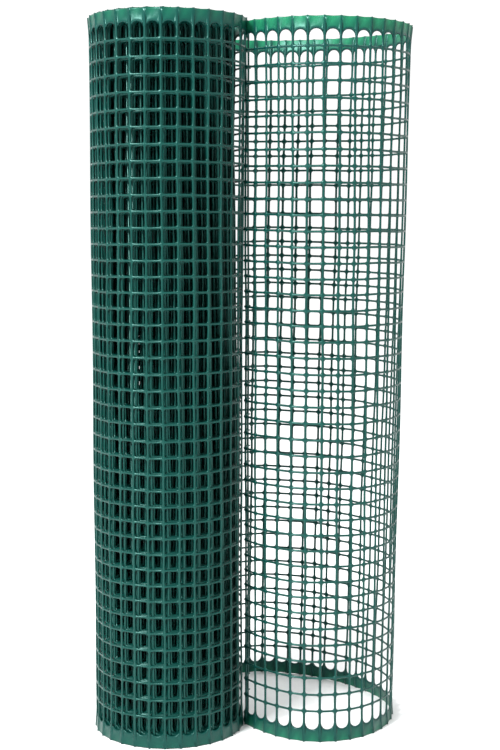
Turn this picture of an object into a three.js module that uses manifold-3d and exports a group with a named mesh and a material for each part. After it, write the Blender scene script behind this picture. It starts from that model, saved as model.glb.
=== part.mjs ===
// Roll of moulded plastic garden mesh: one sheet, wound in a roll, its last length sprung open in a loop.
// Millimetres, +Z up. The sheet stands on its long edge. The origin is under the middle of the whole.
import * as THREE from 'three';
import { mergeVertices } from 'three/addons/utils/BufferGeometryUtils.js';
import Module from 'manifold-3d';

const wasm = await Module();
wasm.setup();

// Driving dimensions of the sheet
const sheetWidth = 1000;
const sheetThickness = 2.8;

// Driving dimensions of the roll
const boreRadius = 48.1;
const turnCount = 16;
const turnGap = 0.9;
const endGrooveDepth = 6;

// Driving dimensions of the loop, from the roll's axis
const leaveAngle = THREE.MathUtils.degToRad(135);
const loopReach = 325;
const loopMiddle = 51;
const loopBack = 231;
const loopBackOffset = 136;
const loopFront = 77;
const loopFrontOffset = 214;
const loopFlare = 18;

// Driving dimensions of the free end, which springs against the side of the roll
const endClearance = 1.3;
const endSlope = THREE.MathUtils.degToRad(126);
const endTurn = THREE.MathUtils.degToRad(69);
const endSetback = 6;
const endLength = 24;
const endLift = 6;

// Fullness of the bends before and after each point of the loop, as shares of the way to the next point
const leaveEase = { after: 0.46 };
const backEase = { before: 0.19, after: 0.31 };
const rightEase = { before: 0.34, after: 0.42 };
const frontEase = { before: 0.36, after: 0.4 };
const touchEase = { before: 0.28, after: 0.44 };
const endEase = { before: 0.29 };

// Driving dimensions of the coarse grid that stands for the net: openings in the loop, pockets in the roll
const loopColumns = 12;
const rollColumns = 8;
const openingRows = 10;
const edgeBand = 18;
const barWidth = 11;
const pocketTurns = 3;

// How finely the round stretches are divided
const rollSegments = 48;
const grooveSegments = 16;
const pocketSegments = 24;
const sheetStep = 24;
const cutOvershoot = 1;

// Sizes that follow
const turnPitch = sheetThickness + turnGap;
const rollRadius = boreRadius + turnCount * turnPitch;
const leaveRadius = rollRadius - sheetThickness;
const touchOffset = rollRadius + endClearance + sheetThickness / 2;
const rootAngle = Math.acos(leaveRadius / (rollRadius + sheetThickness / 2));
const rootLength = leaveRadius * Math.tan(rootAngle);

// The sides of a grid cell: the neighbour that hides a side, and its corners as steps along, up and through
const cellSides = [
  { hiddenBy: null, corners: [[0, 0, 0], [0, 1, 0], [1, 1, 0], [1, 0, 0]] },
  { hiddenBy: null, corners: [[0, 0, 1], [1, 0, 1], [1, 1, 1], [0, 1, 1]] },
  { hiddenBy: [1, 0], corners: [[1, 0, 1], [1, 0, 0], [1, 1, 0], [1, 1, 1]] },
  { hiddenBy: [-1, 0], corners: [[0, 0, 0], [0, 0, 1], [0, 1, 1], [0, 1, 0]] },
  { hiddenBy: [0, 1], corners: [[0, 1, 1], [1, 1, 1], [1, 1, 0], [0, 1, 0]] },
  { hiddenBy: [0, -1], corners: [[0, 0, 1], [0, 0, 0], [1, 0, 0], [1, 0, 1]] },
];

const meshGreen = new THREE.MeshStandardMaterial({ color: 0x2c6b62, roughness: 0.45, metalness: 0 });

/** Turns a closed geometry into a solid that can be joined and cut. */
function toSolid(geometry) {
  geometry.deleteAttribute('normal');
  geometry.deleteAttribute('uv');
  const merged = mergeVertices(geometry, 1e-4);
  const vertProperties = new Float32Array(merged.attributes.position.array);
  const triVerts = new Uint32Array(merged.index.array);
  return new wasm.Manifold(new wasm.Mesh({ numProp: 3, vertProperties, triVerts }));
}

/** Turns a solid back into a geometry. */
function toGeometry(solid) {
  const mesh = solid.getMesh();
  const geometry = new THREE.BufferGeometry();
  geometry.setAttribute('position', new THREE.BufferAttribute(mesh.vertProperties, 3));
  geometry.setIndex(new THREE.BufferAttribute(mesh.triVerts, 1));
  geometry.computeVertexNormals();
  return geometry;
}

/** A point at a distance from another, in a direction given as an angle. */
function pointAlong(start, angle, distance) {
  return new THREE.Vector2(start.x + distance * Math.cos(angle), start.y + distance * Math.sin(angle));
}

/** A smooth bend from one knot to the next, where a knot is a point, a heading and the ease round it. */
function bend(from, to) {
  const chord = from.point.distanceTo(to.point);
  const leaving = pointAlong(from.point, from.heading, from.ease.after * chord);
  const arriving = pointAlong(to.point, to.heading + Math.PI, to.ease.before * chord);
  return new THREE.CubicBezierCurve(from.point, leaving, arriving, to.point);
}

/** The closed outline of a strip that follows stations of point and normal, a half width to each side. */
function stripOutline(stations, halfWidth) {
  const left = stations.map(({ point, normal }) => point.clone().addScaledVector(normal, halfWidth));
  const right = stations.map(({ point, normal }) => point.clone().addScaledVector(normal, -halfWidth));
  return new THREE.Shape([...left, ...right.reverse()]);
}

/** An outline made solid from one height to another. */
function upright(outline, bottom, top) {
  const geometry = new THREE.ExtrudeGeometry(outline, { depth: top - bottom, bevelEnabled: false });
  geometry.translate(0, 0, bottom);
  return geometry;
}

/** Stations on a circle round the roll's axis, from one angle to another. */
function circleStations(radius, from, to) {
  const steps = Math.ceil(pocketSegments * (to - from) / (2 * Math.PI));
  const stations = [];
  for (let step = 0; step <= steps; step += 1) {
    const angle = from + (to - from) * step / steps;
    const normal = new THREE.Vector2(Math.cos(angle), Math.sin(angle));
    stations.push({ point: normal.clone().multiplyScalar(radius), normal });
  }
  return stations;
}

/** The starts and the ends of equal openings between bars, over a length with a margin at both ends. */
function openingSpans(start, end, count, margin, bar) {
  const size = (end - start - 2 * margin - (count - 1) * bar) / count;
  return Array.from({ length: count }, (_, index) => {
    const from = start + margin + index * (size + bar);
    return { from, to: from + size };
  });
}

/** The heights that the rows of openings take up. */
function openingHeights() {
  return openingSpans(0, sheetWidth, openingRows, edgeBand, barWidth);
}

/** The wound part: a turned ring with its bore. */
function woundRing() {
  const profile = [
    new THREE.Vector2(boreRadius, 0),
    new THREE.Vector2(rollRadius, 0),
    new THREE.Vector2(rollRadius, sheetWidth),
    new THREE.Vector2(boreRadius, sheetWidth),
    new THREE.Vector2(boreRadius, 0),
  ];
  const ring = new THREE.LatheGeometry(profile, rollSegments);
  ring.rotateX(Math.PI / 2);
  return toSolid(ring);
}

/** The spiral gap between the turns, as a cut from one height to another. */
function turnGroove(bottom, top) {
  const turns = turnCount - 2;
  const steps = turns * grooveSegments;
  const stations = [];
  for (let step = 0; step <= steps; step += 1) {
    const turn = turns * step / steps;
    const angle = -2 * Math.PI * turn;
    const radius = boreRadius + turnPitch * (1 + turn);
    const normal = new THREE.Vector2(Math.cos(angle), Math.sin(angle));
    stations.push({ point: normal.clone().multiplyScalar(radius), normal });
  }
  return toSolid(upright(stripOutline(stations, turnGap / 2), bottom, top));
}

/** The openings of the wound part: pockets a few turns deep, which leave the root of the loop whole. */
function rollPockets() {
  const depth = pocketTurns * turnPitch;
  const middleRadius = rollRadius + (cutOvershoot - depth) / 2;
  const bar = barWidth / rollRadius;
  const wound = leaveAngle + 2 * Math.PI - rootAngle;
  return openingSpans(leaveAngle, wound, rollColumns, bar / 2, bar).flatMap((around) => {
    const stations = circleStations(middleRadius, around.from, around.to);
    const outline = stripOutline(stations, (depth + cutOvershoot) / 2);
    return openingHeights().map((height) => toSolid(upright(outline, height.from, height.to)));
  });
}

/** The middle line of the sheet that has left the roll, seen from above, from the roll to the free end. */
function loopPath() {
  const axis = new THREE.Vector2(0, 0);
  const leave = pointAlong(axis, leaveAngle, leaveRadius);
  const back = new THREE.Vector2(loopBackOffset, loopBack);
  const right = new THREE.Vector2(loopReach, loopMiddle);
  const front = new THREE.Vector2(loopFrontOffset, -loopFront);
  const touch = new THREE.Vector2(touchOffset, -endSetback);
  const end = new THREE.Vector2(touchOffset + endLift, endLength - endSetback);
  const knots = [
    { point: leave, heading: leaveAngle - Math.PI / 2, ease: leaveEase },
    { point: back, heading: 0, ease: backEase },
    { point: right, heading: -Math.PI / 2, ease: rightEase },
    { point: front, heading: -Math.PI, ease: frontEase },
    { point: touch, heading: endSlope, ease: touchEase },
    { point: end, heading: endTurn, ease: endEase },
  ];
  const path = new THREE.CurvePath();
  for (let index = 1; index < knots.length; index += 1) {
    path.add(bend(knots[index - 1], knots[index]));
  }
  return path;
}

/** Even steps along the sheet over a span. */
function divided({ from, to }) {
  const steps = Math.ceil((to - from) / sheetStep);
  return Array.from({ length: steps + 1 }, (_, step) => from + (to - from) * step / steps);
}

/** Whether the middle between two values of a list lies in one of some spans. */
function liesIn(spans, values, index) {
  const middle = (values[index] + values[index + 1]) / 2;
  return spans.some(({ from, to }) => middle > from && middle < to);
}

/** A point of the loop's wall: a side of the middle line, carried outwards with height by the flare. */
function wallPoint({ point, normal }, height, side) {
  const spot = point.clone().addScaledVector(normal, side * sheetThickness / 2);
  const past = Math.max(0, spot.x - touchOffset) / (loopReach - touchOffset);
  return [spot.x + loopFlare * past * height / sheetWidth, spot.y, height];
}

/** The corners of a grid on both sides of the loop's wall, for lengths along it and heights. */
function wallPoints(path, lengths, heights) {
  return lengths.flatMap((length) => {
    const share = length / path.getLength();
    const heading = path.getTangentAt(share);
    const station = { point: path.getPointAt(share), normal: new THREE.Vector2(-heading.y, heading.x) };
    return heights.flatMap((height) => [wallPoint(station, height, 1), wallPoint(station, height, -1)]);
  });
}

/** The open part: a thin wall along the loop, made of the cells of a grid without those that are openings. */
function loopWall() {
  const path = loopPath();
  const columns = openingSpans(rootLength, path.getLength(), loopColumns, barWidth, barWidth);
  const rows = openingHeights();
  const lengths = [...divided({ from: 0, to: rootLength }), ...columns.flatMap(divided), path.getLength()];
  const heights = [0, ...rows.flatMap(({ from, to }) => [from, to]), sheetWidth];
  const isWall = (column, row) => {
    const onGrid = column >= 0 && row >= 0 && column < lengths.length - 1 && row < heights.length - 1;
    return onGrid && !(liesIn(columns, lengths, column) && liesIn(rows, heights, row));
  };
  const triangles = [];
  for (let column = 0; column < lengths.length - 1; column += 1) {
    for (let row = 0; row < heights.length - 1; row += 1) {
      const shown = cellSides.filter(({ hiddenBy }) => (
        isWall(column, row) && !(hiddenBy && isWall(column + hiddenBy[0], row + hiddenBy[1]))
      ));
      for (const { corners } of shown) {
        const [a, b, c, d] = corners.map(([along, up, through]) => (
          ((column + along) * heights.length + row + up) * 2 + through
        ));
        triangles.push(a, b, c, a, c, d);
      }
    }
  }
  const points = wallPoints(path, lengths, heights);
  const wall = new THREE.BufferGeometry();
  wall.setAttribute('position', new THREE.Float32BufferAttribute(points.flat(), 3));
  wall.setIndex(triangles);
  return toSolid(wall);
}

const woundPart = rollPockets().reduce((left, pocket) => left.subtract(pocket), woundRing());
const sheet = woundPart
  .add(loopWall())
  .subtract(turnGroove(-cutOvershoot, endGrooveDepth))
  .subtract(turnGroove(sheetWidth - endGrooveDepth, sheetWidth + cutOvershoot));

const meshRoll = new THREE.Mesh(toGeometry(sheet), meshGreen);
meshRoll.name = 'mesh_roll';
meshRoll.geometry.computeBoundingBox();
const middle = meshRoll.geometry.boundingBox.getCenter(new THREE.Vector3());
meshRoll.position.set(-middle.x, -middle.y, 0);

const gardenMesh = new THREE.Group();
gardenMesh.name = 'garden_mesh';
gardenMesh.add(meshRoll);

export default gardenMesh;
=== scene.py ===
"""Dresses a standing roll of moulded plastic garden mesh with its real net: strands, cells and edge bands."""

import logging
import math
from dataclasses import dataclass, field
from enum import Enum

import bpy
import numpy as np
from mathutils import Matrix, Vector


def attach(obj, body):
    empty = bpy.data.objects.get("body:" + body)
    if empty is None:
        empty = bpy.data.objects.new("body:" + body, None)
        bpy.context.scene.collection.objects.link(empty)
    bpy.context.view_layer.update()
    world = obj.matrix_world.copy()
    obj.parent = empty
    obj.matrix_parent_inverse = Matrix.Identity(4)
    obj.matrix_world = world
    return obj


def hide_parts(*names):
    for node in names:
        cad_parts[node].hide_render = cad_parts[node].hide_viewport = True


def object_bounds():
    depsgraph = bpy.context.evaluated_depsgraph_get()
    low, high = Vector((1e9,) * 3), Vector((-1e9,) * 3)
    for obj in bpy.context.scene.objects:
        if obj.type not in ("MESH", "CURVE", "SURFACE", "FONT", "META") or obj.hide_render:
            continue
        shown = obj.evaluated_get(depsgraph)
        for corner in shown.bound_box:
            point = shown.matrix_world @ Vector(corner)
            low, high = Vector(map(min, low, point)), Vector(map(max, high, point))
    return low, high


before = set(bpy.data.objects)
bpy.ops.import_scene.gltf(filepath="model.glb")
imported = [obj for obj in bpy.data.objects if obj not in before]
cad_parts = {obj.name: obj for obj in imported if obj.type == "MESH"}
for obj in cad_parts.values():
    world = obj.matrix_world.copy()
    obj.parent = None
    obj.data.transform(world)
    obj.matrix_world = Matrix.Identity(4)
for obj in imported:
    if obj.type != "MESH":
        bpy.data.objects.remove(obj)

LOG = logging.getLogger("garden_mesh")
CAD_BOX = [list(corner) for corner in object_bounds()]
MM = 0.001
NODE = "mesh_roll"
# Points that agree to 1/1000 mm are one point, and heights this near to an edge of the sheet lie on it
MERGE_STEPS = 1000.0
ON_EDGE = 1e-6
# Section of a strand beside an edge band, crest to edge: shares of its half width and of its crest's height
FINE_SHARE = (0.0, 0.35, 0.62, 0.88, 1.0)
FINE_HEIGHT = (1.0, 0.93, 0.72, 0.4, 0.0)


class EndKind(Enum):
    """How a piece of the sheet ends: cut along a strand, or joined to the next in a strand's middle."""

    CUT = "cut"
    JOINED = "joined"


class Detail(Enum):
    """How finely a strand's section is rounded, and whether its cells have rounded corners.

    The first list gives shares of the half width, the second shares of the height, both from crest to edge.
    PLAIN strands have one edge to each side. SQUARE ones, deep in the roll, also have sharp-cornered cells.
    """

    ROUND = ((0.0, 0.62, 1.0), (1.0, 0.72, 0.0), True)
    PLAIN = ((0.0, 1.0), (1.0, 0.0), True)
    SQUARE = ((0.0, 1.0), (1.0, 0.0), False)


@dataclass(frozen=True)
class Strand:
    """A strand's section in millimetres: half its width, and how far it stands out to front and back."""

    half_width: float
    front: float
    back: float


@dataclass
class Surface:
    """Points of the net in sheet coordinates, with triangles and the share of thin film at each point."""

    points: np.ndarray
    triangles: np.ndarray
    film: np.ndarray

    @staticmethod
    def joined(parts: list["Surface"]) -> "Surface":
        """Put several surfaces in one and merge the points that they share.

        Args:
            parts: Surfaces whose seams have equal points.

        Returns:
            One surface with each place stored once.
        """
        points = np.concatenate([part.points for part in parts])
        film = np.concatenate([part.film for part in parts])
        starts = np.cumsum([0] + [len(part.points) for part in parts[:-1]])
        triangles = np.concatenate([part.triangles + start for part, start in zip(parts, starts)])
        keys = np.round(points * MERGE_STEPS).astype(np.int64)
        _, first, place = np.unique(keys, axis=0, return_index=True, return_inverse=True)
        triangles = place.reshape(-1)[triangles]
        corners = [triangles[:, 0] != triangles[:, 1], triangles[:, 1] != triangles[:, 2]]
        kept = corners[0] & corners[1] & (triangles[:, 0] != triangles[:, 2])
        return Surface(points[first], triangles[kept], film[first])


def quads_to_triangles(quads: np.ndarray) -> np.ndarray:
    """Split each quad a, b, c, d into the triangles a, b, c and a, c, d."""
    return np.concatenate([quads[..., [0, 1, 2]].reshape(-1, 3), quads[..., [0, 2, 3]].reshape(-1, 3)])


@dataclass
class NetPattern:
    """The sheet laid flat: rows, strands, cells and edge bands, in millimetres."""

    # The sheet and its rows of cross strands
    width: float = 1000.0
    row_count: int = 42
    first_row: float = 43.8
    last_row: float = 959.8
    row_drift: tuple[float, ...] = (3.5, 2.91, -0.41, 1.91, 0.95)
    row_scatter: float = 0.3
    row_seed: int = 42
    # Strands between the edge bands
    upright: Strand = Strand(1.8, 1.7, 1.1)
    cross: Strand = Strand(1.55, 1.2, 1.2)
    corner_radius: float = 2.6
    # Edge bands: how high the arches start, the ribs, and the bead round each arch
    arch_height: float = 27.0
    rib: Strand = Strand(2.4, 2.3, 1.1)
    bead_width: float = 4.6
    bead_front: float = 1.3
    bead_back: float = 0.9
    # Depths where rib, bead and film run into each other, as shares of the rib's, the bead's and the film's
    rib_foot: float = 0.25
    rib_toe: float = 0.2
    bead_start: float = 0.8
    film_root: float = 1.2
    # How near the bead's crest comes to an upright strand's middle, as a share of the strand's half width
    bead_clear: float = 0.8
    # Film of the bands: half its thickness, its share kept in the lower band (a painted shade that makes the
    # lower band darker and less see-through), and its wavy edge
    film_half: float = 0.45
    lower_band_painted_shade: float = 0.3
    lip: float = 2.2
    scallop: float = 1.1
    # How far the cut stubs of the cross strands stand out
    stub_length: float = 3.2

    def rows(self) -> np.ndarray:
        """Heights of the cross strands, bottom to top.

        Evenly spaced rows, moved by a short sum of half waves (the mould's and the stretching's slow drift)
        and by a small scatter.

        Returns:
            One height for each row.
        """
        along = np.linspace(0.0, 1.0, self.row_count)
        drift = sum(size * np.sin(math.pi * (wave + 1) * along) for wave, size in enumerate(self.row_drift))
        draws = np.random.default_rng(self.row_seed)
        scatter = draws.uniform(-self.row_scatter, self.row_scatter, self.row_count)
        return self.first_row + (self.last_row - self.first_row) * along + drift + scatter

    def plain_cells(self, strands: np.ndarray, detail: Detail) -> tuple[np.ndarray, ...]:
        """Work out the cells between rows.

        Each cell is a ring: twelve points round a hole with rounded corners, and for each of them a line of
        points from the front crest of the surrounding strands, over the hole's edge, to their back crest.
        Sharp corners have their three points in one place, but not beside an edge band, where the rows meet
        rounded corners.

        Args:
            strands: Places of the upright strands along the sheet.
            detail: How finely a strand's section is rounded.

        Returns:
            Arrays of place along the sheet, height, and depth, each of cells by points round by lines.
        """
        rows = self.rows()
        left, low = (grid.reshape(-1, 1) for grid in np.meshgrid(strands[:-1], rows[:-1]))
        right, high = (grid.reshape(-1, 1) for grid in np.meshgrid(strands[1:], rows[1:]))
        to_right = np.repeat([-1.0, 1.0, 1.0, -1.0], 3)
        to_top = np.repeat([-1.0, -1.0, 1.0, 1.0], 3)
        angle = np.radians([180, 225, 270, 270, 315, 360, 0, 45, 90, 90, 135, 180])
        middle_s, middle_z = (left + right) / 2, (low + high) / 2
        half_s, half_z = (right - left) / 2, (high - low) / 2
        inner_s = half_s - self.upright.half_width - self.corner_radius
        inner_z = half_z - self.cross.half_width - self.corner_radius
        hole_s = middle_s + to_right * inner_s + self.corner_radius * np.cos(angle)
        hole_z = middle_z + to_top * inner_z + self.corner_radius * np.sin(angle)
        on_upright = np.tile([True, True, False, False, True, True], 2)
        on_row = np.tile([False, True, True, True, True, False], 2)
        rim_s = np.where(on_upright, middle_s + to_right * half_s, hole_s)
        rim_z = np.where(on_row, middle_z + to_top * half_z, hole_z)
        front = np.where(on_upright, self.upright.front, self.cross.front)
        back = np.where(on_upright, self.upright.back, self.cross.back)
        share, height, rounded = (np.array(values) for values in detail.value)
        at_seam = (low == rows[0]) & (to_top < 0) | (high == rows[-1]) & (to_top > 0)
        sharp = ~(rounded | at_seam)
        rim_s = np.where(sharp, middle_s + to_right * half_s, rim_s)
        rim_z = np.where(sharp, middle_z + to_top * half_z, rim_z)
        hole_s = np.where(sharp, middle_s + to_right * (inner_s + self.corner_radius), hole_s)
        hole_z = np.where(sharp, middle_z + to_top * (inner_z + self.corner_radius), hole_z)
        front = np.where(sharp, self.upright.front, front)
        back = np.where(sharp, self.upright.back, back)
        share = np.concatenate([share, share[-2::-1]])
        depth = np.concatenate([front[..., None] * height, -back[..., None] * height[-2::-1]], axis=-1)
        along = rim_s[..., None] + (hole_s - rim_s)[..., None] * share
        up = rim_z[..., None] + (hole_z - rim_z)[..., None] * share
        return along, up, depth

    def edge_lines(self, cell_width: np.ndarray) -> tuple[np.ndarray, ...]:
        """Work out the left half of an edge cell's arch, from the strand's side to the middle of the band.

        The hole ends in a half circle. Outside it lie a round bead, thin film, and a rib that carries each
        upright strand on over the band to the sheet's edge.

        Args:
            cell_width: Width of each cell, as a column.

        Returns:
            Distance from the strand, height over the sheet's edge, front depth, back depth and film share,
            each of cells by points by lines from the rim to the hole.
        """
        # Points round the arch, and how far up the strand each one's rim point lies
        angle = np.radians([0.0, 25.0, 45.0, 60.0, 70.0, 90.0])
        rise = np.array([1.0, 0.55, 0.22, 0.0, 0.0, 0.0])
        half = cell_width / 2
        hole_radius = half - self.upright.half_width
        ones = np.ones_like(half * angle)
        strand = self.upright.half_width * np.array(FINE_SHARE[1:4])
        at_middle = np.array([0.0, 0.0, 0.0, 0.0, 0.0, 1.0])
        beside_rib = np.array([0.0, 0.0, 0.0, 0.0, 1.0, 0.0])
        rim_s = half * at_middle + self.rib.half_width * beside_rib
        rim_z = ones * self.arch_height * rise + self.scallop * (at_middle + beside_rib / 2)
        foot_s = np.maximum(rim_s, self.rib.half_width)
        foot_z = np.maximum(rim_z, self.lip)

        def arc(extra: float, least: float) -> tuple[np.ndarray, np.ndarray]:
            """Points of a circle round the arch's centre, kept at least so far from the strand's middle."""
            radius = hole_radius + extra
            return np.maximum(half - radius * np.cos(angle), least), self.arch_height - radius * np.sin(angle)

        bead_foot_s, bead_foot_z = arc(self.bead_width, self.rib.half_width)
        bead_s, bead_z = arc(self.bead_width / 2, self.bead_clear * self.upright.half_width)
        hole_s, hole_z = arc(0.0, 0.0)
        along = np.stack([rim_s, foot_s, bead_foot_s, bead_s, hole_s], axis=-1)
        up = np.stack([rim_z, foot_z, bead_foot_z, bead_z, hole_z], axis=-1)
        along[:, 0, 1:4] = strand
        up[:, 0, 1:4] = self.arch_height
        film = self.film_half

        def depths(upright: float, rib: float, bead: float) -> np.ndarray:
            """Depth of each point and line on one face, for the strand's, the rib's and the bead's height."""
            beside = [share * upright for share in FINE_HEIGHT]
            rim = [upright, rib, rib, rib, film, film]
            foot = [beside[1], self.rib_foot * rib + film, film, film, film, film]
            bead_foot = [beside[2], self.rib_toe * rib + film, self.film_root * film, film, film, film]
            crest = [beside[3], self.bead_start * bead, bead, bead, bead, bead]
            return np.array([rim, foot, bead_foot, crest, [0.0] * 6]).T

        front = depths(self.upright.front, self.rib.front, self.bead_front)
        back = depths(self.upright.back, self.rib.back, self.bead_back)
        # The film is thinnest at the edge between two ribs, and thickens towards the ribs and the bead
        thin = np.zeros((6, 5))
        thin[4:, 0] = [0.35, 1.0]
        thin[2:, 1] = [0.2, 0.3, 0.35, 0.9]
        thin[2:, 2] = [0.1, 0.15, 0.2, 0.3]
        return along, up, front, back, thin

    def edge_cells(self, strands: np.ndarray, detail: Detail, at_top: bool) -> tuple[np.ndarray, ...]:
        """Work out the tall cells beside an edge band, with the band itself.

        Seventeen points go round each hole: down the left strand, round the arch, up the right strand, and
        round the two corners at the row. Lines lead from the rim over the hole's edge to the back.

        Args:
            strands: Places of the upright strands along the sheet.
            detail: How finely a strand's section is rounded.
            at_top: True for the upper band, which is the lower one mirrored. The lower band's film share is
                cut down, a painted shade that makes it darker and less see-through.

        Returns:
            Arrays of place along the sheet, height, depth and film share, each of cells by points by lines.
        """
        left, right = strands[:-1, None], strands[1:, None]
        width = right - left
        row = self.rows()[-1 if at_top else 0]
        edge_row = self.width - row if at_top else row
        arch = self.edge_lines(width)
        radius, upright, cross = self.corner_radius, self.upright, self.cross
        angle = np.radians([90.0, 135.0, 180.0])
        hole_s = upright.half_width + radius + radius * np.cos(angle)
        hole_z = edge_row - cross.half_width - radius + radius * np.sin(angle)
        rim_s = np.array([hole_s[0], 0.0, 0.0])
        rim_z = np.array([edge_row, edge_row, hole_z[2]])
        share, height = np.array(FINE_SHARE), np.array(FINE_HEIGHT)
        corner_s = rim_s[:, None] + (hole_s - rim_s)[:, None] * share
        corner_z = rim_z[:, None] + (hole_z - rim_z)[:, None] * share
        corner_front = np.array([cross.front, upright.front, upright.front])[:, None] * height
        corner_back = np.array([cross.back, upright.back, upright.back])[:, None] * height
        shape = (len(width), 3, 5)
        corner = [corner_s, corner_z, corner_front, corner_back, np.zeros((3, 5))]
        half = [
            np.concatenate([np.broadcast_to(a, shape), np.broadcast_to(b, (len(width), 6, 5))], axis=1)
            for a, b in zip(corner, arch)
        ]
        turned = [np.flip(values[:, :-1], axis=1) for values in half]
        along = np.concatenate([half[0], width[..., None] - turned[0]], axis=1) + left[..., None]
        up, front, back, thin = (np.concatenate([a, b], axis=1) for a, b in zip(half[1:], turned[1:]))
        if detail is not Detail.ROUND:
            lines = (along, up, front, back, thin)
            along, up, front, back, thin = (values[..., [0, 2, 4]] for values in lines)
        turn = np.flip(np.arange(along.shape[-1] - 1))
        along, up, thin = (np.concatenate([v, v[..., turn]], axis=-1) for v in (along, up, thin))
        depth = np.concatenate([front, -back[..., turn]], axis=-1)
        if at_top:
            cells = (along, self.width - up, depth, thin)
            along, up, depth, thin = (np.flip(values, axis=1) for values in cells)
        # The lower band keeps less film share: painted shade, darker and less see-through than the upper band
        return along, up, depth, thin * (1.0 if at_top else self.lower_band_painted_shade)

    def ring_surface(self, cells: tuple[np.ndarray, ...], closing: np.ndarray) -> Surface:
        """Make the surface of ring-shaped cells.

        Args:
            cells: Arrays of place along, height, depth and film share, of cells by points round by lines.
            closing: For each cell and point, whether the step to the next point is closed from back to front.

        Returns:
            The surface, with its outward side to the front.
        """
        along, up, depth, thin = cells
        points = np.stack([along, up, depth], axis=-1).reshape(-1, 3)
        index = np.arange(along.size).reshape(along.shape)
        ahead = np.roll(index, -1, axis=1)
        quads = np.stack([index[..., :-1], ahead[..., :-1], ahead[..., 1:], index[..., 1:]], axis=-1)
        wrap = np.stack([index[..., -1], ahead[..., -1], ahead[..., 0], index[..., 0]], axis=-1)[closing]
        quads = np.concatenate([quads.reshape(-1, 4), wrap.reshape(-1, 4)])
        return Surface(points, quads_to_triangles(quads), thin.reshape(-1))

    def cut_side(self, cells: tuple[np.ndarray, ...], steps: np.ndarray) -> Surface:
        """Round off the outer half of the strand that the sheet was cut along.

        At each point of the strand's middle line, five points go round half of the section, from the front
        crest past the side to the back crest, and the half section is capped at the two edges of the sheet.

        Args:
            cells: Arrays of place along, height, depth and film share of the first column's cells.
            steps: Pairs of cell and point, each the start of a step down the strand.

        Returns:
            The surface of the outer half strand.
        """
        along, up, depth, _ = cells
        cell, step = steps[:, 0, None], np.stack([steps[:, 1], (steps[:, 1] + 1) % up.shape[1]], axis=1)
        place, height = along[cell, step, 0], up[cell, step, 0]
        front, back = depth[cell, step, 0], -depth[cell, step, -1]
        wide = front > (self.upright.front + self.rib.front) / 2
        half_width = np.where(wide, self.rib.half_width, self.upright.half_width)
        shares, heights, _ = Detail.ROUND.value
        aside = np.array([*shares, *shares[-2::-1]])
        facing = np.array([*heights, 0.0, 0.0])
        behind = facing[::-1]
        points = np.stack(
            [
                place[..., None] - half_width[..., None] * aside,
                np.broadcast_to(height[..., None], height.shape + (5,)),
                front[..., None] * facing - back[..., None] * behind,
            ],
            axis=-1,
        )
        index = np.arange(points[..., 0].size).reshape(points.shape[:3])
        upper, lower = index[:, 0], index[:, 1]
        quads = np.stack([upper[:, 1:], lower[:, 1:], lower[:, :-1], upper[:, :-1]], axis=-1)
        fan = np.array([[0, 1, 2], [0, 2, 3], [0, 3, 4]])
        bottom = lower[height[:, 1] < ON_EDGE][:, fan].reshape(-1, 3)
        top = upper[height[:, 0] > self.width - ON_EDGE][:, fan[:, ::-1]].reshape(-1, 3)
        triangles = np.concatenate([quads_to_triangles(quads), bottom, top])
        return Surface(points.reshape(-1, 3), triangles, np.zeros(index.size))

    def stubs(self, place: float, length: float) -> Surface:
        """Cut ends of the cross strands, past the last upright strand.

        Each stub is a closed tube of six sides, a little thinner than its strand and thinnest at its cut end.

        Args:
            place: Where the last upright strand lies along the sheet.
            length: How far the stubs stand out past the strand's side.

        Returns:
            The surface of all the stubs.
        """
        rows = self.rows()
        start, stop = place, place - self.upright.half_width - length
        reach = np.array([start, start, stop, stop])
        size = np.array([0.0, 0.85, 0.75, 0.0])
        around = np.linspace(0.0, 2 * math.pi, 6, endpoint=False)
        up = rows[:, None, None] + self.cross.half_width * size[:, None] * np.sin(around)
        depth = np.broadcast_to(self.cross.front * size[:, None] * np.cos(around), up.shape)
        along = np.broadcast_to(reach[:, None], up.shape)
        points = np.stack([along, up, depth], axis=-1)
        index = np.arange(up.size).reshape(up.shape)
        ahead = np.roll(index, -1, axis=2)
        quads = np.stack([index[:, :-1], ahead[:, :-1], ahead[:, 1:], index[:, 1:]], axis=-1)
        return Surface(points.reshape(-1, 3), quads_to_triangles(quads), np.zeros(up.size))

    def net(self, strands: np.ndarray, detail: Detail, first: EndKind) -> Surface:
        """Make the net between the first and the last of some upright strands.

        Args:
            strands: Places of the upright strands along the sheet.
            detail: How finely a strand's section is rounded.
            first: How the sheet ends at the first strand. It ends joined at the last.

        Returns:
            One closed surface in sheet coordinates, with the stubs where it is cut.
        """
        columns = len(strands) - 1
        plain = self.plain_cells(strands, detail)
        cells = (*plain, np.zeros_like(plain[0]))
        column = np.tile(np.arange(columns), self.row_count - 1)
        # Steps round a ring that run along the left strand, the sheet's edge and the right strand
        blocks = [(cells, column, {"left": [10, 11, 0], "band": [], "right": [4, 5, 6]})]
        for at_top in (False, True):
            cells = self.edge_cells(strands, detail, at_top)
            sides = {"left": [1, 2, 3, 4, 5], "band": [6, 7, 8, 9], "right": [10, 11, 12, 13, 14]}
            if at_top:
                last = cells[0].shape[1] - 2
                sides = {name: [last - step for step in steps] for name, steps in sides.items()}
            blocks.append((cells, np.arange(columns), sides))
        parts = []
        for cells, column, sides in blocks:
            closing = np.zeros(cells[0].shape[:2], dtype=bool)
            closing[:, sides["band"]] = True
            closing[np.ix_(column == columns - 1, sides["right"])] = True
            at_first = np.flatnonzero(column == 0)
            if first is EndKind.JOINED:
                closing[np.ix_(column == 0, sides["left"])] = True
            else:
                steps = np.array([(cell, step) for cell in at_first for step in sides["left"]])
                parts.append(self.cut_side(cells, steps))
            parts.append(self.ring_surface(cells, closing))
        if first is EndKind.CUT:
            parts.append(self.stubs(strands[0], self.stub_length))
        return Surface.joined(parts)


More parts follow.
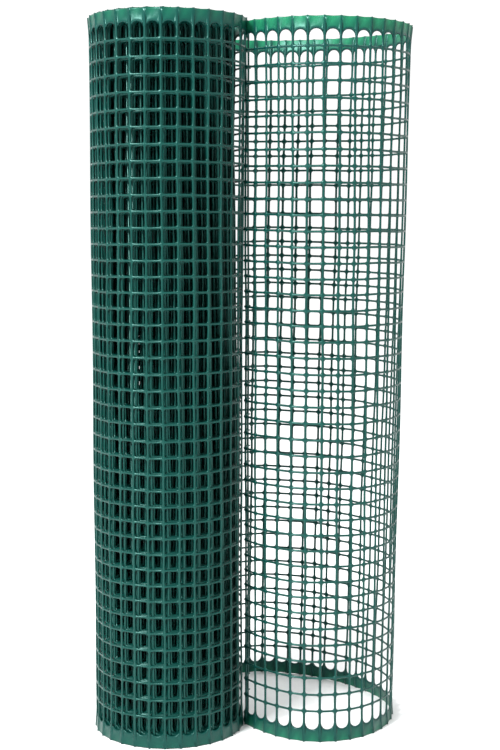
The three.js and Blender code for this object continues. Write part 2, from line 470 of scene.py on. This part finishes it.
@dataclass(frozen=True)
class Wave:
    """A slow wave over the sheet: its size and its lengths along and up, in millimetres, and its phase."""

    size: float
    along: float
    up: float
    phase: float = 0.0

    def at(self, place: np.ndarray, height: np.ndarray) -> np.ndarray:
        """Values of the wave at places along the sheet and heights."""
        return self.size * np.sin(2 * math.pi * (place / self.along + height / self.up) + self.phase)


@dataclass
class SheetPath:
    """The sheet seen from above, in millimetres from the roll's axis: free end, open loop, then the turns."""

    width: float = 1000.0
    # Roll: its outside, the sheet's middle where it joins, and the first turn, which is loose
    roll_radius: float = 107.3
    wind_radius: float = 105.9
    loosening: float = 2.8
    loosening_rate: float = 3.0
    # Further turns: radius of the last, their number, and the even step of the first few
    bore_radius: float = 49.5
    turns: float = 19.0
    pitch: float = 2.51
    even_turns: float = 6.0
    # Open loop: where it leaves the roll, its furthest points to the right, back and front, and how much
    # wider it is at the top
    leave_angle: float = math.radians(135.0)
    reach: float = 325.0
    middle: float = 51.0
    back: float = 231.0
    back_offset: float = 136.0
    front: float = 77.0
    front_offset: float = 214.0
    flare: float = 18.0
    # Free end, against the side of the roll
    touch_offset: float = 110.0
    touch_setback: float = 6.0
    end_length: float = 24.0
    end_lift: float = 6.0
    end_slope: float = math.radians(126.0)
    end_turn: float = math.radians(69.0)
    # Steps that the lines are worked out in
    spacing: float = 1.5
    bend_steps: int = 120
    steps_per_turn: int = 240
    # Lifts of the loop and the roll
    loop_dip: float = 4.5
    roll_lift: float = 2.2
    roll_lift_turns: float = 0.2
    # The core's taper and lean, and the outer turn's bulge, with the turns where they start and end
    core_start: float = 0.75
    core_turns: float = 0.5
    core_taper: float = 0.045
    core_lean: float = 5.0
    bulge: float = 0.018
    top_bulge: float = 0.06
    bulge_turn: float = 0.62
    bulge_spread: float = 0.17
    # Inner turns: shorter than the outer one, with an upper edge that stands up
    inner_start: float = 0.7
    inner_shrink: float = 2.2
    inner_edge_rise: float = 4.5
    inner_edge_height: float = 30.0
    # Edges that flare outwards, and slow waves along the sheet, up it and through it
    edge_flare: float = 1.3
    edge_flare_height: float = 9.0
    place_waves: tuple[Wave, ...] = (Wave(0.4, 410.0, 270.0), Wave(0.3, -230.0, 143.0, 1.3))
    height_waves: tuple[Wave, ...] = (Wave(0.45, 185.0, 700.0), Wave(0.3, 77.0, math.inf, 0.7))
    depth_wave: Wave = Wave(0.5, 160.0, 350.0)
    # Worked out: even steps along the sheet, and the lines at the floor and at the top
    along: np.ndarray = field(init=False)
    low: np.ndarray = field(init=False)
    high: np.ndarray = field(init=False)
    leave_place: float = field(init=False)

    def __post_init__(self) -> None:
        """Lay out the path at the floor and at the top, both measured along the sheet."""
        low, low_right = self.open_loop(0.0)
        high, high_right = self.open_loop(self.flare)
        low_along, high_along = self.measured(low), self.measured(high)
        self.leave_place = low_along[-1]
        slack = (low_along[-1] - high_along[high_right]) / (high_along[-1] - high_along[high_right])
        past_right = np.maximum(high_along - high_along[high_right], 0.0)
        high_along = np.minimum(high_along, high_along[high_right]) + past_right * slack
        wound = self.wound_turns()[1:]
        wound_along = self.leave_place + self.measured(np.concatenate([low[-1:], wound]))[1:]
        self.along = np.arange(0.0, wound_along[-1], self.spacing)
        self.low = self.resampled(np.concatenate([low_along, wound_along]), np.concatenate([low, wound]))
        self.high = self.resampled(np.concatenate([high_along, wound_along]), np.concatenate([high, wound]))

    @staticmethod
    def measured(points: np.ndarray) -> np.ndarray:
        """Length along a line of points, up to each of them."""
        return np.concatenate([[0.0], np.cumsum(np.hypot(*np.diff(points, axis=0).T))])

    def resampled(self, along: np.ndarray, points: np.ndarray) -> np.ndarray:
        """Points of a line at even steps along it."""
        return np.stack([np.interp(self.along, along, points[:, axis]) for axis in (0, 1)], axis=1)

    def open_loop(self, flare: float) -> tuple[np.ndarray, int]:
        """Line of the open loop, from the free end to where the sheet joins the roll.

        Cubic bends run between six knots. Each knot has a point, a heading, and the lengths of its handles
        before and after it, as shares of the chord.

        Args:
            flare: How much further the loop reaches than at the floor.

        Returns:
            The points, and the index of the one that reaches furthest.
        """
        leave = self.wind_radius * np.array([math.cos(self.leave_angle), math.sin(self.leave_angle)])
        end = (self.touch_offset + self.end_lift, self.end_length - self.touch_setback)
        quarter = math.pi / 2
        knots = [
            (leave, self.leave_angle - quarter, 0.0, 0.46),
            (np.array([self.back_offset, self.back]), 0.0, 0.19, 0.31),
            (np.array([self.reach, self.middle]), -quarter, 0.34, 0.42),
            (np.array([self.front_offset, -self.front]), -2 * quarter, 0.36, 0.4),
            (np.array([self.touch_offset, -self.touch_setback]), self.end_slope, 0.28, 0.44),
            (np.array(end), self.end_turn, 0.29, 0.0),
        ]
        share = np.linspace(0.0, 1.0, self.bend_steps)[:, None]
        bends = []
        for (start, heading, _, after), (stop, turned, before, _) in zip(knots[:-1], knots[1:]):
            chord = np.hypot(*(stop - start))
            leaving = start + after * chord * np.array([math.cos(heading), math.sin(heading)])
            arriving = stop - before * chord * np.array([math.cos(turned), math.sin(turned)])
            bends.append(
                (1 - share) ** 3 * start
                + 3 * share * (1 - share) ** 2 * leaving
                + 3 * share**2 * (1 - share) * arriving
                + share**3 * stop
            )
        line = np.concatenate([bends[0]] + [bend[1:] for bend in bends[1:]])[::-1]
        past = np.maximum(line[:, 0] - self.touch_offset, 0.0) / (self.reach - self.touch_offset)
        line = line + np.stack([flare * past, np.zeros(len(line))], axis=1)
        return line, int(np.argmax(line[:, 0]))

    def radius_at(self, turn: np.ndarray) -> np.ndarray:
        """Radius after some turns: it falls evenly, more over the first loose turn, and faster near the bore.

        Args:
            turn: Turns wound, from where the sheet joins the roll.

        Returns:
            The radius of the sheet's middle at each. What the even steps leave over goes to the inner turns.
        """
        loosened = self.loosening * (1 - np.exp(-self.loosening_rate * turn))
        spare = self.wind_radius - self.loosening - self.pitch * self.turns - self.bore_radius
        slack = np.clip((turn - self.even_turns) / (self.turns - self.even_turns), 0.0, 1.0)
        return self.wind_radius - loosened - self.pitch * turn - spare * slack**2

    def turn_steps(self) -> np.ndarray:
        """Even steps in turns, from where the sheet joins the roll to the bore."""
        return np.linspace(0.0, self.turns, int(self.turns * self.steps_per_turn) + 1)

    def wound_turns(self) -> np.ndarray:
        """Line of the turns: a spiral from where the sheet joins the roll to the bore, which turns left."""
        turn = self.turn_steps()
        angle = self.leave_angle + 2 * math.pi * turn
        return self.radius_at(turn)[:, None] * np.stack([np.cos(angle), np.sin(angle)], axis=1)

    def wound_along(self) -> np.ndarray:
        """Place along the sheet at each of the steps in turns."""
        return self.leave_place + self.measured(self.wound_turns())

    def turn_at(self, place: np.ndarray) -> np.ndarray:
        """Number of turns wound, at places along the sheet: nothing before the roll."""
        return np.interp(place, self.wound_along(), self.turn_steps())

    def place_of(self, turn: float) -> float:
        """Place along the sheet where some turns are wound."""
        return float(np.interp(turn, self.turn_steps(), self.wound_along()))

    def mixed(self, low: np.ndarray, high: np.ndarray, place: np.ndarray, share: np.ndarray) -> np.ndarray:
        """Mix the values of two lines, one for the floor and one for the top.

        Args:
            low: Values at even steps along the sheet, at the floor.
            high: The same at the top.
            place: Places along the sheet.
            share: Height of each place as a share of the sheet's width.

        Returns:
            One pair of values for each place.
        """
        below, above = (
            np.stack([np.interp(place, self.along, line[:, axis]) for axis in (0, 1)], axis=1)
            for line in (low, high)
        )
        return below + (above - below) * share[:, None]

    def loosened(self, spot: np.ndarray, turn: np.ndarray, share: np.ndarray) -> np.ndarray:
        """Bulge the outer turn to the right, most at the top, where the core is tighter and leans left.

        The open loop stays where it is.

        Args:
            spot: Points of the evenly wound sheet, from the roll's axis.
            turn: Turns wound at each point.
            share: Height of each point as a share of the sheet's width.

        Returns:
            The moved points.
        """
        core = np.clip((turn - self.core_start) / self.core_turns, 0.0, 1.0) * share**2
        from_bulge = (turn - self.bulge_turn) / self.bulge_spread
        loose = (self.bulge + self.top_bulge * share**3) * np.exp(-(from_bulge**2))
        spot = spot * (1 + loose * (turn > 0.0) - self.core_taper * core)[:, None]
        spot[:, 0] -= self.core_lean * core
        return spot

    def lifts(self, place: np.ndarray, turn: np.ndarray, height: np.ndarray) -> np.ndarray:
        """How far the net is lifted.

        The open loop dips in front and rises behind. The inner turns are a little shorter than the outer one,
        and their upper edge stands up behind it.

        Args:
            place: Places along the sheet.
            turn: Turns wound at each place.
            height: Height of each point.

        Returns:
            The lift of each point, in millimetres.
        """
        share = height / self.width
        in_loop = np.clip(place / self.leave_place, 0.0, 1.0)
        in_roll = np.clip(turn / self.roll_lift_turns, 0.0, 1.0)
        inner = np.clip(turn - self.inner_start, 0.0, 1.0)
        below_top = (self.width - height) / self.inner_edge_height
        outer_lift = share * (self.roll_lift * in_roll - self.loop_dip * np.sin(2 * math.pi * in_loop))
        inner_lift = self.inner_shrink * (1 - 2 * share) + self.inner_edge_rise * np.exp(-below_top**2)
        return outer_lift + inner * inner_lift

    def placed(self, points: np.ndarray, axis: np.ndarray) -> np.ndarray:
        """Carry points from sheet coordinates to where they stand.

        A point goes along the path, out along its normal, and up. The path is a mix of the line at the floor
        and the line at the top. Slow waves of less than a millimetre keep the strands from being ruled lines,
        and the edge bands flare outwards.

        Args:
            points: Places along the sheet, heights and depths, in millimetres.
            axis: The roll's axis in the frame, in millimetres.

        Returns:
            Places in the frame, in metres.
        """
        place, height, depth = points.T
        for wave in self.place_waves:
            place = place + wave.at(place, height)
        turn = self.turn_at(place)
        share = height / self.width
        inside = np.sqrt(np.clip(4 * share * (1 - share), 0.0, 1.0))
        edge = np.minimum(height, self.width - height) / self.edge_flare_height
        depth = depth + self.edge_flare * np.exp(-edge * edge)
        depth = depth + inside * self.depth_wave.at(place, height)
        slope_low, slope_high = np.gradient(self.low, axis=0), np.gradient(self.high, axis=0)
        spot = self.loosened(self.mixed(self.low, self.high, place, share), turn, share)
        slope = self.mixed(slope_low, slope_high, place, share)
        normal = np.stack([slope[:, 1], -slope[:, 0]], axis=1) / np.hypot(*slope.T)[:, None]
        spot = spot + normal * depth[:, None] + axis
        ripple = sum(wave.at(place, height) for wave in self.height_waves)
        height = height + ripple * inside + self.lifts(place, turn, height)
        return np.column_stack([spot, height]) * MM


def linear(hex_colour: str) -> tuple[float, float, float, float]:
    """Turn an sRGB hex colour into the linear values that a shader takes."""
    values = np.array([int(hex_colour[start:start + 2], 16) for start in (1, 3, 5)]) / 255.0
    values = np.where(values <= 0.04045, values / 12.92, ((values + 0.055) / 1.055) ** 2.4)
    return (*(float(value) for value in values), 1.0)


def add_node(
    tree: bpy.types.NodeTree, kind: str, settings: dict | None = None, inputs: dict | None = None
) -> bpy.types.Node:
    """Add a node to a material's tree.

    Args:
        tree: The node tree.
        kind: The node's type.
        settings: Values of the node's own properties.
        inputs: For each input's name or number, a value, or the output socket that is linked to it.

    Returns:
        The new node.
    """
    node = tree.nodes.new(kind)
    for name, value in (settings or {}).items():
        setattr(node, name, value)
    for name, value in (inputs or {}).items():
        if isinstance(value, bpy.types.NodeSocket):
            tree.links.new(value, node.inputs[name])
        else:
            node.inputs[name].default_value = value
    return node


@dataclass(frozen=True)
class MouldedPolyethylene:
    """Dark green high-density polyethylene, moulded as net, with thin bands that let light through."""

    strand: str = "#083d37"
    strand_shade: str = "#062f2a"
    film: str = "#2ba372"
    sheen: str = "#a8e2d8"
    see_through: float = 0.92
    roughness: float = 0.3
    film_roughness: float = 0.5
    ior: float = 1.5
    blotch_mm: float = 60.0
    blotch_detail: float = 3.0
    ripple_mm: float = 3.0
    ripple_detail: float = 2.0
    ripple_strength: float = 0.12
    ripple_height: float = 0.0006

    def material(self) -> bpy.types.Material:
        """Build the material.

        The eye sees a waxy satin plastic with a cool sheen, faint blotches of a darker green and a fine
        ripple. Where the film attribute is high, it is brighter and lets light through, as a thin band does.

        Returns:
            The new material.
        """
        material = bpy.data.materials.new("moulded_green_polyethylene")
        material.use_nodes = True
        tree = material.node_tree
        tree.nodes.clear()
        output = add_node(tree, "ShaderNodeOutputMaterial")
        place = add_node(tree, "ShaderNodeTexCoord").outputs["Object"]
        thin = add_node(tree, "ShaderNodeAttribute", {"attribute_name": "film"}).outputs["Fac"]
        blotch = add_node(
            tree,
            "ShaderNodeTexNoise",
            {},
            {"Vector": place, "Scale": 1.0 / (self.blotch_mm * MM), "Detail": self.blotch_detail},
        )
        plain = add_node(
            tree,
            "ShaderNodeMix",
            {"data_type": "RGBA"},
            {0: blotch.outputs["Fac"], 6: linear(self.strand), 7: linear(self.strand_shade)},
        )
        colour = add_node(
            tree, "ShaderNodeMix", {"data_type": "RGBA"}, {0: thin, 6: plain.outputs[2], 7: linear(self.film)}
        )
        ripple = add_node(
            tree,
            "ShaderNodeTexNoise",
            {},
            {"Vector": place, "Scale": 1.0 / (self.ripple_mm * MM), "Detail": self.ripple_detail},
        )
        bump = add_node(
            tree,
            "ShaderNodeBump",
            {},
            {
                "Height": ripple.outputs["Fac"],
                "Strength": self.ripple_strength,
                "Distance": self.ripple_height,
            },
        )
        passing = add_node(
            tree, "ShaderNodeMath", {"operation": "MULTIPLY"}, {0: thin, 1: self.see_through}
        )
        rough = add_node(
            tree,
            "ShaderNodeMix",
            {"data_type": "FLOAT"},
            {0: thin, 2: self.roughness, 3: self.film_roughness},
        )
        shader = add_node(
            tree,
            "ShaderNodeBsdfPrincipled",
            {},
            {
                "Base Color": colour.outputs[2],
                "Roughness": rough.outputs[0],
                "IOR": self.ior,
                "Specular Tint": linear(self.sheen),
                "Normal": bump.outputs["Normal"],
                "Transmission Weight": passing.outputs[0],
            },
        )
        tree.links.new(shader.outputs["BSDF"], output.inputs["Surface"])
        return material


@dataclass(frozen=True)
class MattPaint:
    """Plain matt studio paint."""

    name: str
    colour: str
    roughness: float = 0.9

    def material(self) -> bpy.types.Material:
        """Build the material: an even, pale surface with very little gloss.

        Returns:
            The new material.
        """
        material = bpy.data.materials.new(self.name)
        material.use_nodes = True
        shader = material.node_tree.nodes["Principled BSDF"]
        shader.inputs["Base Color"].default_value = linear(self.colour)
        shader.inputs["Roughness"].default_value = self.roughness
        return material


def make_piece(
    name: str, surface: Surface, points: np.ndarray, material: bpy.types.Material
) -> bpy.types.Object:
    """Make a smooth mesh piece that rides with the sheet and stands for its CAD solid.

    Args:
        name: The piece's name.
        surface: Its triangles and film shares.
        points: Its points in the frame, in metres.
        material: Its finish.

    Returns:
        The new object.
    """
    count = len(surface.triangles)
    mesh = bpy.data.meshes.new(name)
    mesh.vertices.add(len(points))
    mesh.vertices.foreach_set("co", points.astype(np.float32).reshape(-1))
    mesh.loops.add(3 * count)
    mesh.loops.foreach_set("vertex_index", surface.triangles.astype(np.int32).reshape(-1))
    mesh.polygons.add(count)
    mesh.polygons.foreach_set("loop_start", np.arange(0, 3 * count, 3, dtype=np.int32))
    mesh.polygons.foreach_set("use_smooth", np.ones(count, dtype=bool))
    mesh.update(calc_edges=True)
    mesh.validate()
    film = mesh.attributes.new("film", "FLOAT", "POINT")
    film.data.foreach_set("value", surface.film.astype(np.float32))
    mesh.materials.append(material)
    piece = bpy.data.objects.new(name, mesh)
    bpy.context.scene.collection.objects.link(piece)
    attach(piece, "root")
    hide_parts(NODE)
    return piece


@dataclass
class MeshSheet:
    """The whole sheet: its net laid along its path, in pieces that meet in the middle of a strand."""

    pattern: NetPattern = field(default_factory=NetPattern)
    path: SheetPath = field(default_factory=SheetPath)
    finish: MouldedPolyethylene = MouldedPolyethylene()
    # Upright strands of the loop: place of the first, how many cells follow, and how far the middle ones move
    end_inset: float = 5.3
    loop_columns: int = 42
    loop_bulge: float = 4.0
    # Upright strands of the roll: the first lies 5.1 degrees past where the sheet joins it
    first_roll_turn: float = 5.1 / 360.0
    pitch: float = 21.4
    scatter: float = 0.4
    loop_seed: int = 7
    roll_seed: int = 11
    # Share of the film's bright, see-through colour kept where turns lie on one another: painted shade for
    # the dark turns behind
    wound_film_painted_shade: float = 0.2

    def loop_strands(self) -> np.ndarray:
        """Places of the upright strands from the free end to the roll, wider apart near the free end.

        Returns:
            One place along the sheet for each strand, in order.
        """
        share = np.linspace(0.0, 1.0, self.loop_columns + 1)
        last = self.path.place_of(self.first_roll_turn)
        even = self.end_inset + (last - self.end_inset) * share
        return self.scattered(even + self.loop_bulge * np.sin(math.pi * share), self.loop_seed)

    def roll_strands(self) -> np.ndarray:
        """Places of the upright strands in the roll, from its first strand to the bore.

        Returns:
            One place along the sheet for each strand, in order.
        """
        start = self.path.place_of(self.first_roll_turn)
        places = np.arange(start, self.path.along[-1] - self.pitch, self.pitch)
        return self.scattered(places, self.roll_seed)

    def scattered(self, places: np.ndarray, seed: int) -> np.ndarray:
        """Move each place but the first and last by a small random amount.

        Args:
            places: Places along the sheet.
            seed: Seed of the draws.

        Returns:
            The moved places.
        """
        shift = np.random.default_rng(seed).uniform(-self.scatter, self.scatter, len(places))
        shift[[0, -1]] = 0.0
        return places + shift

    def pieces(self) -> list[tuple[str, np.ndarray, Detail, EndKind]]:
        """List the pieces, from the free end to the bore.

        Returns:
            For each its name, upright strands, detail, and how the sheet ends where it starts.
        """
        roll = self.roll_strands()
        turn = np.floor(self.path.turn_at(roll)).astype(int)
        # First and last turn of each piece, counted from 0, and its detail
        stretches = {
            "outer_turn": (0, 0, Detail.ROUND),
            "second_turn": (1, 1, Detail.ROUND),
            "third_turn": (2, 2, Detail.PLAIN),
            "fourth_turn": (3, 3, Detail.PLAIN),
            "middle_turns": (4, 9, Detail.SQUARE),
            "inner_turns": (10, 17, Detail.SQUARE),
            "bore_turn": (18, 19, Detail.ROUND),
        }
        listed = [("open_loop", self.loop_strands(), Detail.ROUND, EndKind.CUT)]
        for name, (first, last, detail) in stretches.items():
            inside = np.flatnonzero((turn >= first) & (turn <= last))
            stop = min(inside[-1] + 1, len(roll) - 1)
            listed.append((name, roll[inside[0]:stop + 1], detail, EndKind.JOINED))
        return listed

    def build(self) -> list[bpy.types.Object]:
        """Make all the pieces of the sheet.

        Returns:
            The new objects.
        """
        material = self.finish.material()
        corner = np.array(CAD_BOX[0][:2]) / MM
        axis = corner + self.path.roll_radius
        made = []
        for name, strands, detail, first in self.pieces():
            surface = self.pattern.net(strands, detail, first)
            # In the wound turns the film keeps only a small share of its bright, see-through colour: painted
            # shade for the dark turns behind it
            if first is EndKind.JOINED:
                surface.film *= self.wound_film_painted_shade
            points = self.path.placed(surface.points, axis)
            made.append(make_piece(name, surface, points, material))
            LOG.info("%s: %d columns, %d triangles", name, len(strands) - 1, len(surface.triangles))
        return made


@dataclass(frozen=True)
class Lamp:
    """A square soft light: its name, place and side in metres, and power in watts."""

    name: str
    place: tuple[float, float, float]
    size: float
    power: float

    def build(self, target: tuple[float, float, float]) -> bpy.types.Object:
        """Hang the light so that it faces a target.

        Args:
            target: The point that it faces, in metres.

        Returns:
            The light.
        """
        lamp = bpy.data.lights.new(self.name, "AREA")
        lamp.shape = "SQUARE"
        lamp.size = self.size
        lamp.energy = self.power
        light = bpy.data.objects.new(self.name, lamp)
        aim = np.array(target) - np.array(self.place)
        tilt = math.atan2(math.hypot(aim[0], aim[1]), -aim[2])
        light.location = self.place
        light.rotation_euler = (tilt, 0.0, math.atan2(-aim[0], aim[1]))
        bpy.context.scene.collection.objects.link(light)
        return light


@dataclass
class Studio:
    """A pale floor, soft light and the camera, in metres but for the camera's place in millimetres."""

    camera_place: tuple[float, float, float] = (-2.25, -2014.5, 711.5)
    camera_tilt: float = 5.95
    lens: float = 66.5
    floor_size: float = 60.0
    floor_paint: MattPaint = MattPaint("matt_white_floor_paint", "#f4f5f5")
    key: Lamp = Lamp("key_light", (-1.9, -2.4, 2.5), 0.9, 240.0)
    fill: Lamp = Lamp("fill_light", (2.4, -1.6, 1.2), 1.8, 8.0)
    middle: tuple[float, float, float] = (0.0, 0.0, 0.5)
    # Surroundings: their glow rises from the front's to the back's between these two values of y
    wall_front: float = -0.4
    wall_back: float = 0.2
    front_glow: float = 0.3
    back_glow: float = 1.05
    top_glow: float = 1.5

    def floor(self) -> bpy.types.Object:
        """Lay the floor: one large square at height zero.

        Returns:
            The floor.
        """
        half = self.floor_size / 2
        corners = [(-half, -half, 0.0), (half, -half, 0.0), (half, half, 0.0), (-half, half, 0.0)]
        mesh = bpy.data.meshes.new("floor")
        mesh.from_pydata(corners, [], [(0, 1, 2, 3)])
        mesh.materials.append(self.floor_paint.material())
        floor = bpy.data.objects.new("floor", mesh)
        bpy.context.scene.collection.objects.link(floor)
        return floor

    def world(self) -> None:
        """Fill the surroundings with white light: a bright ceiling and back wall, and a dim front."""
        world = bpy.data.worlds.new("white_surroundings")
        world.use_nodes = True
        tree = world.node_tree
        facing = add_node(tree, "ShaderNodeTexCoord").outputs["Generated"]
        parts = add_node(tree, "ShaderNodeSeparateXYZ", {}, {"Vector": facing}).outputs
        turned = {1: self.wall_front, 2: self.wall_back, 3: self.front_glow, 4: self.back_glow}
        wall = add_node(tree, "ShaderNodeMapRange", {}, {0: parts["Y"], **turned})
        glow = add_node(
            tree,
            "ShaderNodeMix",
            {"data_type": "FLOAT"},
            {0: parts["Z"], 2: wall.outputs[0], 3: self.top_glow},
        )
        background = tree.nodes["Background"]
        background.inputs["Color"].default_value = linear("#ffffff")
        tree.links.new(glow.outputs[0], background.inputs["Strength"])
        bpy.context.scene.world = world

    def camera(self) -> bpy.types.Object:
        """Stand the camera in front, at the photograph's distance, height and tilt.

        Returns:
            The camera.
        """
        lens = bpy.data.cameras.new("camera")
        lens.lens = self.lens
        camera = bpy.data.objects.new("camera", lens)
        camera.location = [value * MM for value in self.camera_place]
        camera.rotation_euler = (math.radians(90.0 - self.camera_tilt), 0.0, 0.0)
        bpy.context.scene.collection.objects.link(camera)
        bpy.context.scene.camera = camera
        return camera

    def build(self) -> None:
        """Make the camera, the lights and the floor."""
        self.camera()
        self.world()
        self.floor()
        self.key.build(self.middle)
        self.fill.build(self.middle)
        bpy.context.scene.view_settings.view_transform = "Standard"


def main() -> None:
    """Build the studio and the sheet, in order."""
    logging.basicConfig(level=logging.INFO, format="%(name)s: %(message)s")
    Studio().build()
    MeshSheet().build()


if __name__ == "__main__":
    main()
